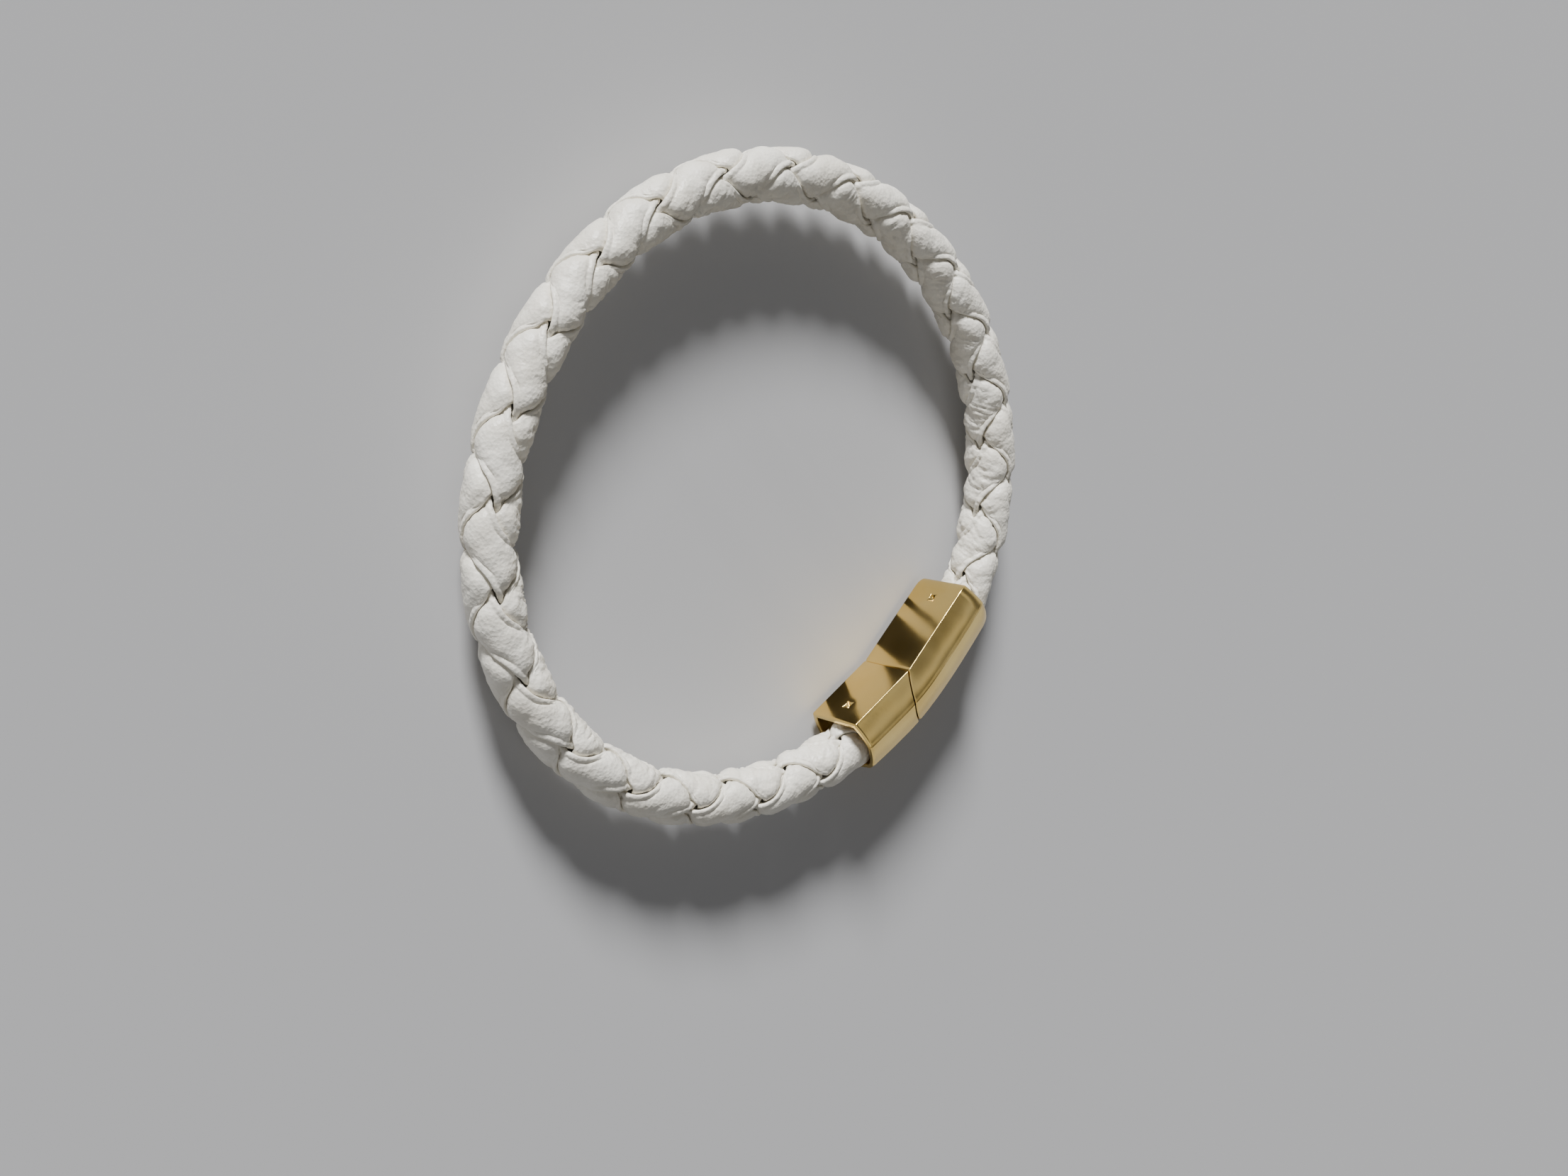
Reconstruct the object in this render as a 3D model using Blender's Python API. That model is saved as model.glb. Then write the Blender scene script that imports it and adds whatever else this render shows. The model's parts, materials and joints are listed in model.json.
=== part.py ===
"""Braided leather bracelet with a two-piece magnetic clasp, lying flat.

Four soft leather strips make a round braid. Its ends are bound with thread and glued into the two
halves of a gilt clasp. A tongue on the short half enters a socket in the long half, and a magnet in
each half holds them together.

Frame: +Z up, the ring's plane is XY, the origin is the ring's centre, and the clasp's seam is at -Y.
The long (socket) half is on the +X side. Sizes below are in millimetres and degrees.
"""

import math

import bmesh
import bpy
import numpy as np

MM = 0.001

# Ring centreline: RING_RADIUS * (1 + OVAL cos 2a - EGG cos 3a) at azimuth a.
RING_RADIUS = 32.55
OVAL = 0.040
EGG = 0.009
SEAM_AZIMUTH = -90.0
PATH_POINTS = 2881

# Braid: two strips wind one way and two the other, each over one column and under the next.
LAY_LENGTH = 16.94
LAY_START = 6.46
COLUMN_ANGLE = 69.3
OVER_RADIUS = 2.35
UNDER_RADIUS = 0.98
STRIP_UNDER_HALF_WIDTH = 0.95
STRIP_OVER_HALF_WIDTH = 2.25
STRIP_SPREAD = 2.8
STRIP_HALF_THICKNESS = 0.48
STRIP_SIDE_POINTS = 5
STATIONS_PER_LAY = 12

# The braid is split into rigid sections, hinged at the braid's centre. It bends by HINGE_OPENING at
# each hinge when the bracelet opens, so the sections' ends are cut back on the ring's outer side.
SECTIONS = 7
HINGE_OPENING = 17.0
SECTION_GAP = 0.30

# Clasp: the inner faces are flat and meet at the seam, and the outer side is arched lengthwise.
SEAM_INNER_RADIUS = 26.9
HALF_SLOPE = 6.5
SOCKET_HALF_LENGTH = 12.4
TONGUE_HALF_LENGTH = 9.45
CLASP_THICKNESS = 7.7
CLASP_END_THICKNESS = 7.2
INNER_FACE_HALF_WIDTH = 3.7
EDGE_HALF_WIDTH = 4.5
OUTER_FACE_HALF_WIDTH = 2.9
CROWN_HALF_WIDTH = 1.0
EDGE_HEIGHT = 0.50
OUTER_FACE_HEIGHT = 0.90
CORNER_CUT = 0.35
LIP_CUT = 0.5
LINE_WIDTH = 0.25
LINE_DEPTH = 0.15
SEAM_BULGE = 2.2
SEAM_BULGE_HEIGHT = 5.0
SEAM_GAP = 0.3
RINGS_PER_HALF = 5
RINGS_FROM_SEAM = 1.0

# Cord pockets, the tongue and its socket, the magnets and the punched marks. A pocket's axis runs
# through the middle of its half at the cord end and at POCKET_AXIS_SHARE of the half's length.
# Cutters and joined blocks run OVERRUN past the faces that they meet.
POCKET_SCALE = 0.86
SOCKET_POCKET_DEPTH = 4.6
TONGUE_POCKET_DEPTH = 4.2
CORD_END_CLEARANCE = 0.4
POCKET_BEND_LENGTH = 3.0
POCKET_AXIS_SHARE = 0.6
END_TAPER = 0.80
TONGUE_SIZE = (4.6, 5.6)
TONGUE_LENGTH = 2.8
TONGUE_CLEARANCE = 0.3
MAGNET_RADIUS = 1.8
MAGNET_LENGTH = 1.6
MAGNET_CLEARANCE = 0.3
ROUND_SEGMENTS = 24
MARK_HALF_SIZE = 0.45
MARK_DEPTH = 0.25
MARK_FROM_END = 2.6
PUNCH_LIFT = 0.3
BINDING_INNER_RADIUS = 2.45
BINDING_OUTER_RADIUS = 2.75
BINDING_LENGTH = 1.4
BINDING_FROM_END = 0.5
OVERRUN = 1.0

LEATHER = ((0.83, 0.80, 0.74), 0.55, 0.0)
GILT = ((0.86, 0.62, 0.24), 0.12, 1.0)
MAGNET = ((0.45, 0.45, 0.47), 0.30, 1.0)
THREAD = ((0.80, 0.78, 0.72), 0.85, 0.0)


def clear_scene():
    for obj in list(bpy.data.objects):
        bpy.data.objects.remove(obj, do_unlink=True)


def make_collection(name):
    collection = bpy.data.collections.new(name)
    bpy.context.scene.collection.children.link(collection)
    return collection


def make_material(name, finish):
    colour, roughness, metallic = finish
    material = bpy.data.materials.new(name)
    material.use_nodes = True
    shader = material.node_tree.nodes["Principled BSDF"]
    shader.inputs["Base Color"].default_value = (*colour, 1.0)
    shader.inputs["Roughness"].default_value = roughness
    shader.inputs["Metallic"].default_value = metallic
    return material


def smoothstep(value):
    value = min(max(value, 0.0), 1.0)
    return value * value * (3.0 - 2.0 * value)


# ---- Clasp frame -------------------------------------------------------------------------------


def thickness_at(along):
    """The clasp's thickness at a distance from the seam, + towards the socket half's cord end."""
    length = SOCKET_HALF_LENGTH if along > 0.0 else TONGUE_HALF_LENGTH
    share = abs(along) / length
    return CLASP_THICKNESS + (CLASP_END_THICKNESS - CLASP_THICKNESS) * share * share


def clasp_point(along, height, across):
    """A point of the clasp: along it from the seam, out from its inner face, across its width."""
    length = SOCKET_HALF_LENGTH if along > 0.0 else TONGUE_HALF_LENGTH
    slope = math.radians(HALF_SLOPE)
    lean = slope * along / length
    base_x = along * math.cos(slope)
    base_y = -SEAM_INNER_RADIUS + abs(along) * math.sin(slope)
    return (base_x + height * math.sin(lean), base_y - height * math.cos(lean), across)


def seam_along(height):
    """The seam seen from the side: the socket half's end bulges into the tongue half's."""
    return -SEAM_BULGE * (1.0 - (1.0 - height / SEAM_BULGE_HEIGHT) ** 2)


# ---- Ring centreline ---------------------------------------------------------------------------


def pocket_axis_radius(azimuth, side):
    """Where the ray at this azimuth meets the axis of a half's cord pocket."""
    end = side * (SOCKET_HALF_LENGTH if side > 0 else TONGUE_HALF_LENGTH)
    inner = end * POCKET_AXIS_SHARE
    near = np.array(clasp_point(inner, thickness_at(inner) / 2, 0.0))
    far = np.array(clasp_point(end, CLASP_END_THICKNESS / 2, 0.0))
    step = far - near
    ray = (math.cos(azimuth), math.sin(azimuth))
    return (near[0] * step[1] - near[1] * step[0]) / (ray[0] * step[1] - ray[1] * step[0])


def centre_radius(azimuth):
    """The ring's radius. Inside the cord pockets the centreline bends on to the pocket's axis."""
    radius = RING_RADIUS * (1.0 + OVAL * math.cos(2 * azimuth) - EGG * math.cos(3 * azimuth))
    along = radius * math.cos(azimuth)
    if math.sin(azimuth) > 0.0:
        return radius
    for side, length in ((1, SOCKET_HALF_LENGTH), (-1, TONGUE_HALF_LENGTH)):
        if side * along > 0.0:
            share = smoothstep((length - side * along) / POCKET_BEND_LENGTH)
            return radius + share * (pocket_axis_radius(azimuth, side) - radius)
    return radius


AZIMUTHS = np.radians(np.linspace(SEAM_AZIMUTH, SEAM_AZIMUTH + 360.0, PATH_POINTS))
RADII = np.array([centre_radius(azimuth) for azimuth in AZIMUTHS])
PATH = np.stack([RADII * np.cos(AZIMUTHS), RADII * np.sin(AZIMUTHS)], axis=1)
STEPS = np.linalg.norm(np.diff(PATH, axis=0), axis=1)
LENGTHS = np.concatenate([[0.0], np.cumsum(STEPS)])
RING_LENGTH = LENGTHS[-1]


def path_point(length):
    return np.array([np.interp(length, LENGTHS, PATH[:, 0]), np.interp(length, LENGTHS, PATH[:, 1])])


def path_frame(length):
    """(centre, tangent, outward) of the centreline, anticlockwise from the seam."""
    half_span = 0.2
    tangent = path_point(length + half_span) - path_point(length - half_span)
    tangent /= np.linalg.norm(tangent)
    return path_point(length), tangent, np.array([tangent[1], -tangent[0]])


def length_at_clasp(along):
    """The centreline's length where it passes this distance along the clasp."""
    target = clasp_point(along, CLASP_END_THICKNESS / 2, 0.0)[0]
    rows = np.where(PATH[:, 1] < 0.0)[0]
    row = rows[np.argmin(np.abs(PATH[rows, 0] - target))]
    return LENGTHS[row]


CORD_START = length_at_clasp(SOCKET_HALF_LENGTH - SOCKET_POCKET_DEPTH + CORD_END_CLEARANCE)
CORD_END = length_at_clasp(-TONGUE_HALF_LENGTH + TONGUE_POCKET_DEPTH - CORD_END_CLEARANCE)
MOUTH_START = length_at_clasp(SOCKET_HALF_LENGTH)
MOUTH_END = length_at_clasp(-TONGUE_HALF_LENGTH)
SECTION_LENGTH = (MOUTH_END - MOUTH_START) / SECTIONS


# ---- Lofts -------------------------------------------------------------------------------------


def add_object(name, mesh, material, collection):
    obj = bpy.data.objects.new(name, mesh)
    obj.data.materials.append(material)
    collection.objects.link(obj)
    return obj


def loft_mesh(name, rings):
    """A closed body through rings whose points run out along one side and back along the other.

    Each end is closed by strips across the ring, so an end that isn't flat keeps its shape.
    """
    shape = bmesh.new()
    rows = [[shape.verts.new([value * MM for value in point]) for point in ring] for ring in rings]
    count = len(rows[0])
    for row, after in zip(rows, rows[1:]):
        for i in range(count):
            j = (i + 1) % count
            shape.faces.new((row[i], row[j], after[j], after[i]))
    for row in (rows[0], rows[-1]):
        for i in range(count // 2 - 1):
            shape.faces.new((row[i], row[i + 1], row[count - 2 - i], row[count - 1 - i]))
    bmesh.ops.recalc_face_normals(shape, faces=shape.faces)
    mesh = bpy.data.meshes.new(name)
    shape.to_mesh(mesh)
    shape.free()
    return mesh


def set_origin(obj, point):
    """Moves the object's origin to a point in millimetres without moving its mesh."""
    place = [value * MM for value in point]
    for vertex in obj.data.vertices:
        vertex.co = [a - b for a, b in zip(vertex.co, place)]
    obj.location = place


# ---- Braid -------------------------------------------------------------------------------------


def strip_centre(length, winding, phase):
    """(out, up, over) of a strip in the braid's section. over is 1 where it lies on top, else less."""
    turn = 2.0 * math.pi * (length - LAY_START) / LAY_LENGTH + phase
    if winding > 0:
        first, second = OVER_RADIUS * math.cos(turn), UNDER_RADIUS * math.sin(turn)
        over = math.cos(turn) ** 2
    else:
        first, second = UNDER_RADIUS * math.cos(turn), -OVER_RADIUS * math.sin(turn)
        over = math.sin(turn) ** 2
    column = math.radians(COLUMN_ANGLE)
    out = first * math.cos(column) - second * math.sin(column)
    up = first * math.sin(column) + second * math.cos(column)
    return out, up, over


def end_squeeze(length):
    """The braid is squeezed thinner where it is bound inside the clasp."""
    inside = max(MOUTH_START - length, length - MOUTH_END) / POCKET_BEND_LENGTH
    return 1.0 + (END_TAPER - 1.0) * smoothstep(inside)


def strip_ring(length, winding, phase, cut_back):
    """One flat oval section of a strip, curled round the braid and widest where it lies on top.

    cut_back moves its points along the braid, as at a hinge.
    """
    centre, tangent, outward = path_frame(length)
    out, up, over = strip_centre(length, winding, phase)
    radial = math.atan2(up, out)
    spread = STRIP_OVER_HALF_WIDTH - STRIP_UNDER_HALF_WIDTH
    half_width = STRIP_UNDER_HALF_WIDTH + spread * over**STRIP_SPREAD
    squeeze = end_squeeze(length)
    curl_out = out - OVER_RADIUS * math.cos(radial)
    curl_up = up - OVER_RADIUS * math.sin(radial)
    points = []
    for i in range(2 * STRIP_SIDE_POINTS):
        angle = (i + 0.5) * math.pi / STRIP_SIDE_POINTS
        radius = OVER_RADIUS + STRIP_HALF_THICKNESS * math.cos(angle)
        bearing = radial + half_width * math.sin(angle) / OVER_RADIUS
        point_out = squeeze * (curl_out + radius * math.cos(bearing))
        point_up = squeeze * (curl_up + radius * math.sin(bearing))
        opening = max(point_out, 0.0) * math.tan(math.radians(HINGE_OPENING / 2))
        plan = centre + outward * point_out + tangent * cut_back * (SECTION_GAP / 2 + opening)
        points.append((plan[0], plan[1], point_up))
    return points


def section_ends(section):
    start = MOUTH_START + section * SECTION_LENGTH
    end = start + SECTION_LENGTH
    return (CORD_START if section == 0 else start), (CORD_END if section == SECTIONS - 1 else end)


def hinge_point(section):
    """The hinge that joins a section to the part of the braid nearer the back of the ring."""
    middle = SECTIONS // 2
    border = section + 1 if section < middle else section
    centre, _, _ = path_frame(MOUTH_START + border * SECTION_LENGTH)
    return (centre[0], centre[1], 0.0)


def build_strip_section(name, section, winding, phase, material, collection):
    start, end = section_ends(section)
    steps = round((end - start) * STATIONS_PER_LAY / LAY_LENGTH)
    rings = []
    for step in range(steps + 1):
        length = start + (end - start) * step / steps
        cut_back = 0.0
        if step == 0 and section > 0:
            cut_back = 1.0
        if step == steps and section < SECTIONS - 1:
            cut_back = -1.0
        rings.append(strip_ring(length, winding, phase, cut_back))
    obj = add_object(name, loft_mesh(name, rings), material, collection)
    obj.data.shade_smooth()
    if section != SECTIONS // 2:
        set_origin(obj, hinge_point(section))
    return obj


def build_braid(material, collection):
    strips = (("a", 1, 0.0), ("b", 1, math.pi), ("c", -1, 0.0), ("d", -1, math.pi))
    for section in range(SECTIONS):
        for letter, winding, phase in strips:
            name = f"strip_{letter}_section_{section + 1}"
            build_strip_section(name, section, winding, phase, material, collection)


def build_binding(name, length, material, collection):
    """Whipping thread wound round the squeezed end of the braid, as one band."""
    centre, tangent, outward = path_frame(length)
    shape = bmesh.new()
    profile = (
        (BINDING_INNER_RADIUS, -BINDING_LENGTH / 2),
        (BINDING_OUTER_RADIUS, -BINDING_LENGTH / 2),
        (BINDING_OUTER_RADIUS, BINDING_LENGTH / 2),
        (BINDING_INNER_RADIUS, BINDING_LENGTH / 2),
    )
    corners = [shape.verts.new((radius * MM, 0.0, height * MM)) for radius, height in profile]
    edges = [shape.edges.new((corners[i], corners[(i + 1) % 4])) for i in range(4)]
    bmesh.ops.spin(
        shape,
        geom=corners + edges,
        axis=(0.0, 0.0, 1.0),
        cent=(0.0, 0.0, 0.0),
        angle=2.0 * math.pi,
        steps=ROUND_SEGMENTS,
        use_merge=True,
    )
    bmesh.ops.recalc_face_normals(shape, faces=shape.faces)
    mesh = bpy.data.meshes.new(name)
    shape.to_mesh(mesh)
    shape.free()
    obj = add_object(name, mesh, material, collection)
    obj.rotation_euler = (math.pi / 2, 0.0, math.atan2(tangent[1], tangent[0]) + math.pi / 2)
    obj.location = (centre[0] * MM, centre[1] * MM, 0.0)
    return obj


# ---- Clasp -------------------------------------------------------------------------------------


def clasp_outline(thickness, inset):
    """(height, half width) of one side of the clasp's section, from its inner to its outer face."""
    edge = EDGE_HEIGHT * thickness
    outer = OUTER_FACE_HEIGHT * thickness
    side_lean = (EDGE_HALF_WIDTH - INNER_FACE_HALF_WIDTH) / edge
    bevel_lean = (EDGE_HALF_WIDTH - OUTER_FACE_HALF_WIDTH) / (outer - edge)
    return [
        (inset, INNER_FACE_HALF_WIDTH - CORNER_CUT - inset),
        (inset + CORNER_CUT / 3, INNER_FACE_HALF_WIDTH - CORNER_CUT / 3 - inset),
        (inset + CORNER_CUT, INNER_FACE_HALF_WIDTH + CORNER_CUT * side_lean - inset),
        (edge - LINE_WIDTH / 2, EDGE_HALF_WIDTH - LINE_WIDTH / 2 * side_lean - inset),
        (edge, EDGE_HALF_WIDTH - LINE_DEPTH - inset),
        (edge + LINE_WIDTH / 2, EDGE_HALF_WIDTH - LINE_WIDTH / 2 * bevel_lean - inset),
        (outer - inset, OUTER_FACE_HALF_WIDTH - inset),
        (thickness - inset, CROWN_HALF_WIDTH - inset / 2),
    ]


def outline_ring(sides, along_at):
    """A ring from one side's outline and its mirror image. along_at gives each height's place."""
    one_side = [clasp_point(along_at(height), height, half) for height, half in sides]
    other_side = [clasp_point(along_at(height), height, -half) for height, half in reversed(sides)]
    return one_side + other_side


def clasp_half_rings(side, length):
    """From the seam to the cord end, whose rim is chamfered."""
    rings = []
    seam_sides = clasp_outline(CLASP_THICKNESS, 0.0)
    offset = SEAM_GAP / 2 * side
    rings.append(outline_ring(seam_sides, lambda height: seam_along(height) + offset))
    first = RINGS_FROM_SEAM if side > 0 else RINGS_FROM_SEAM + SEAM_BULGE
    for distance in np.linspace(first, length - LIP_CUT, RINGS_PER_HALF):
        along = side * float(distance)
        rings.append(outline_ring(clasp_outline(thickness_at(along), 0.0), lambda height, at=along: at))
    end = side * length
    rings.append(outline_ring(clasp_outline(thickness_at(end), LIP_CUT / 2), lambda height: end))
    return rings


def pocket_rings(side, length, depth):
    """The cord pocket: the section scaled about its middle, from past the rim to the pocket's floor."""
    middle = CLASP_END_THICKNESS / 2
    sides = [
        (middle + (height - middle) * POCKET_SCALE, half * POCKET_SCALE)
        for height, half in clasp_outline(CLASP_END_THICKNESS, 0.0)
    ]
    ends = (side * (length + OVERRUN), side * (length - depth))
    return [outline_ring(sides, lambda height, at=along: at) for along in ends]


def cut(obj, cutter):
    modifier = obj.modifiers.new(cutter.name, "BOOLEAN")
    modifier.operation = "DIFFERENCE"
    modifier.solver = "EXACT"
    modifier.object = cutter


def join(obj, addition):
    modifier = obj.modifiers.new(addition.name, "BOOLEAN")
    modifier.operation = "UNION"
    modifier.solver = "EXACT"
    modifier.object = addition


def add_cutter(obj):
    obj.hide_render = True
    obj.display_type = "WIRE"
    return obj


def block(name, centre, size, material, collection):
    shape = bmesh.new()
    bmesh.ops.create_cube(shape, size=1.0)
    for vertex in shape.verts:
        vertex.co = [value * side * MM for value, side in zip(vertex.co, size)]
    mesh = bpy.data.meshes.new(name)
    shape.to_mesh(mesh)
    shape.free()
    obj = add_object(name, mesh, material, collection)
    obj.location = [value * MM for value in centre]
    return obj


def disc(name, centre, radius, length, material, collection):
    """A cylinder along X."""
    shape = bmesh.new()
    bmesh.ops.create_cone(
        shape,
        cap_ends=True,
        segments=ROUND_SEGMENTS,
        radius1=radius * MM,
        radius2=radius * MM,
        depth=length * MM,
    )
    mesh = bpy.data.meshes.new(name)
    shape.to_mesh(mesh)
    shape.free()
    obj = add_object(name, mesh, material, collection)
    obj.rotation_euler = (0.0, math.pi / 2, 0.0)
    obj.location = [value * MM for value in centre]
    return obj


def mark_cutter(name, side, length, material, collection):
    """A four-sided punch that sinks a small pyramid into the inner face near the cord end."""
    shape = bmesh.new()
    height = MARK_DEPTH + PUNCH_LIFT
    reach = MARK_HALF_SIZE * height / MARK_DEPTH
    bmesh.ops.create_cone(
        shape,
        cap_ends=True,
        segments=4,
        radius1=reach * math.sqrt(2.0) * MM,
        radius2=0.0,
        depth=height * MM,
    )
    mesh = bpy.data.meshes.new(name)
    shape.to_mesh(mesh)
    shape.free()
    obj = add_object(name, mesh, material, collection)
    place = clasp_point(side * (length - MARK_FROM_END), (MARK_DEPTH - PUNCH_LIFT) / 2, 0.0)
    obj.location = [value * MM for value in place]
    obj.rotation_euler = (math.pi / 2, math.radians(45.0), math.radians(side * HALF_SLOPE))
    return add_cutter(obj)


def build_clasp_half(name, side, length, pocket_depth, gilt, collection, cutters):
    blank = add_object(name, loft_mesh(name, clasp_half_rings(side, length)), gilt, collection)
    pocket = loft_mesh(f"{name}_pocket", pocket_rings(side, length, pocket_depth))
    cut(blank, add_cutter(add_object(f"{name}_pocket", pocket, gilt, cutters)))
    cut(blank, mark_cutter(f"{name}_mark", side, length, gilt, cutters))
    return blank


def build_clasp(collection, cutters):
    """Both halves and their magnets. The tongue, the hollow and the wells lie along X at the seam."""
    gilt = make_material("gilt_metal", GILT)
    magnet = make_material("magnet_nickel", MAGNET)
    middle = -SEAM_INNER_RADIUS - CLASP_THICKNESS / 2
    seam_x = seam_along(CLASP_THICKNESS / 2)
    tongue_tip = seam_x + TONGUE_LENGTH
    hollow_end = tongue_tip + TONGUE_CLEARANCE
    height, width = TONGUE_SIZE
    well_radius = MAGNET_RADIUS + MAGNET_CLEARANCE
    well_depth = MAGNET_LENGTH + MAGNET_CLEARANCE

    def centre_of(start, end):
        return ((start + end) / 2, middle, 0.0)

    def add_block(name, start, end, clearance):
        size = (end - start, height + 2 * clearance, width + 2 * clearance)
        return add_cutter(block(name, centre_of(start, end), size, gilt, cutters))

    def add_well(name, start, end):
        return add_cutter(disc(name, centre_of(start, end), well_radius, end - start, gilt, cutters))

    def add_magnet(name, start):
        centre = centre_of(start, start + MAGNET_LENGTH)
        disc(name, centre, MAGNET_RADIUS, MAGNET_LENGTH, magnet, collection)

    socket = build_clasp_half(
        "clasp_socket_half", 1, SOCKET_HALF_LENGTH, SOCKET_POCKET_DEPTH, gilt, collection, cutters
    )
    cut(socket, add_block("tongue_hollow", seam_x - OVERRUN, hollow_end, TONGUE_CLEARANCE))
    cut(socket, add_well("socket_magnet_well", hollow_end - OVERRUN, hollow_end + well_depth))
    add_magnet("socket_magnet", hollow_end)

    tongue = build_clasp_half(
        "clasp_tongue_half", -1, TONGUE_HALF_LENGTH, TONGUE_POCKET_DEPTH, gilt, collection, cutters
    )
    join(tongue, add_block("tongue_block", seam_x - OVERRUN, tongue_tip, 0.0))
    cut(tongue, add_well("tongue_magnet_pit", tongue_tip - well_depth, tongue_tip + OVERRUN))
    add_magnet("tongue_magnet", tongue_tip - MAGNET_LENGTH)


def main():
    clear_scene()
    collection = make_collection("braided_bracelet")
    cutters = make_collection("cutters")
    cutters.hide_render = True
    leather = make_material("white_leather", LEATHER)
    thread = make_material("binding_thread", THREAD)
    build_braid(leather, collection)
    binding_offset = BINDING_FROM_END + BINDING_LENGTH / 2
    build_binding("socket_end_binding", CORD_START + binding_offset, thread, collection)
    build_binding("tongue_end_binding", CORD_END - binding_offset, thread, collection)
    build_clasp(collection, cutters)


main()
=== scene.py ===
"""The looks of the braided leather bracelet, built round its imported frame.

The braid is four soft strips. One plait of one strip is relaxed against its neighbours until the strips
press on each other and hardly overlap, and the other plaits are turned and shifted copies of it.

Lengths are in millimetres until a mesh is made, and in metres in the materials.
"""

import json
import math

import bmesh
import bpy
import numpy as np
from mathutils import Matrix, Vector


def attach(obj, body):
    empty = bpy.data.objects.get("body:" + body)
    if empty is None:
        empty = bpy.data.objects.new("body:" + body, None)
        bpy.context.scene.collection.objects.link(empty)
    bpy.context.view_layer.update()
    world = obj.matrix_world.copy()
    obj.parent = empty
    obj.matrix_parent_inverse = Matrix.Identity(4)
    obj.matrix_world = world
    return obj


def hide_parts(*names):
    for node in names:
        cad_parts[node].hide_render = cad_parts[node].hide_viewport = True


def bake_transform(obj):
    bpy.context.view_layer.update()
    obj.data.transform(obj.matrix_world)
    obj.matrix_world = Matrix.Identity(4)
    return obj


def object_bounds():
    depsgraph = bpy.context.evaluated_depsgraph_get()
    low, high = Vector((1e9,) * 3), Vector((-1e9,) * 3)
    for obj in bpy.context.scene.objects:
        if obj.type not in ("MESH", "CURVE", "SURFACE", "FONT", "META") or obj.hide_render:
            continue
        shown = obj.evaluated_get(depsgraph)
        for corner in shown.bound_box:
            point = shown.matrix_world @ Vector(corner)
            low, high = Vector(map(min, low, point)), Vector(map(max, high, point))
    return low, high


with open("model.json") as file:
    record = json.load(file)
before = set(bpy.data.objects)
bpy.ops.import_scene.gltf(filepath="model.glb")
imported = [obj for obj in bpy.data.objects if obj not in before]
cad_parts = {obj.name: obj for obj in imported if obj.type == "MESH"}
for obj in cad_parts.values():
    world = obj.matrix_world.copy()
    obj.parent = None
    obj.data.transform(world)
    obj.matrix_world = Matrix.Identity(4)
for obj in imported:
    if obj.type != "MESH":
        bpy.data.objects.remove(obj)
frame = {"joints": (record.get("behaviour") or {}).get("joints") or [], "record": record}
cad_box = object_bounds()
record = frame["record"]
mounts = {mount["name"]: mount for mount in record["mounts"]}

MM = 0.001
SCENE = bpy.context.scene
TINY = 1e-9  # keeps a division by a length from failing

# Clasp, with the CAD model's dimensions. Its seam and slope come from the mounts on its inner faces.
SOCKET_HALF_LENGTH = 12.4
TONGUE_HALF_LENGTH = 9.45
CLASP_THICKNESS = 7.7
CLASP_END_THICKNESS = 7.2
INNER_FACE_HALF_WIDTH = 3.7
EDGE_HALF_WIDTH = 4.5
OUTER_FACE_HALF_WIDTH = 2.9
CROWN_HALF_WIDTH = 1.0
OUTER_FACE_HEIGHT = 0.90  # share of the thickness
SEAM_BULGE = 2.2
SEAM_BULGE_HEIGHT = 5.0
POCKET_SCALE = 0.86
SOCKET_POCKET_DEPTH = 4.6
TONGUE_POCKET_DEPTH = 4.2
CORD_END_CLEARANCE = 0.4
POCKET_BEND_LENGTH = 3.0
POCKET_AXIS_SHARE = 0.6
END_TAPER = 0.80
TONGUE_SIZE = (4.6, 5.6)  # height, width
TONGUE_LENGTH = 2.8
TONGUE_CLEARANCE = 0.3
MAGNET_RADIUS = 1.8
MAGNET_LENGTH = 1.6
MAGNET_CLEARANCE = 0.3
MARK_FROM_END = 2.6
BINDING_LENGTH = 1.4
BINDING_FROM_END = 0.5

# Clasp details that differ from the CAD model or that only the looks have. A setback is how far a
# corner's rounding reaches along its sides.
EDGE_HEIGHT = 0.44  # share of the thickness
CORNER_SETBACK = 0.13
EDGE_SETBACK = 0.2
OUTER_SETBACK = 0.45
FACET_BULGE = 0.13
OUTSIDE_BEND = 0.6  # how softly the outside turns at the seam, per height above the inner face
SOCKET_LIP = (1.4, 0.115)  # rounding at the cord end: length, and inset as a share of the section
TONGUE_LIP = (0.35, 0.04)
SEAM_CHAMFER = 0.09
SEAM_GAP = 0.20
LINE_HALF_WIDTH = 0.07
LINE_DEPTH = 0.10
MARK_REACH = 0.8
MARK_DEPTH = 0.45
MARK_POWER = 0.7  # below 1, so that the mark's four sides curve in
DISH_DEPTH = 0.07
TONGUE_POWER = 8  # of the superellipse that is the tongue's section
TONGUE_TIP_BEVEL = 0.15
TONGUE_TIP_SCALE = 0.94
WELL_RADIUS = 2.1
WELL_DEPTH = 1.9
MAGNET_BEVEL = 0.12
BINDING_RADIUS = 2.6
BINDING_WALL = 0.13
BINDING_THREADS = 4
THREAD_RISE = 0.15
THREAD_POWER = 0.6  # below 1, so that each thread is round and the valleys are sharp

# Braid, with the CAD model's lay, columns and sections
LAY_LENGTH = 16.94
LAY_START = 6.46
COLUMN_ANGLE = math.radians(69.3)
SECTIONS = 7


def smoothstep(value):
    value = np.clip(value, 0.0, 1.0)
    return value * value * (3.0 - 2.0 * value)


# ---- Ring ---------------------------------------------------------------------------------------


def inner_face_line(name):
    """(seam radius, slope) of the clasp's inner face, from the mount on it."""
    mount = mounts[name]
    x, y = abs(mount["pos_m"][0]) / MM, mount["pos_m"][1] / MM
    slope = math.asin(abs(mount["axis"][0]))
    return x * math.tan(slope) - y, slope


SEAM_INNER_RADIUS, HALF_SLOPE = inner_face_line("inner_face_socket_half")


def half_length(side):
    return SOCKET_HALF_LENGTH if side > 0 else TONGUE_HALF_LENGTH


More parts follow.
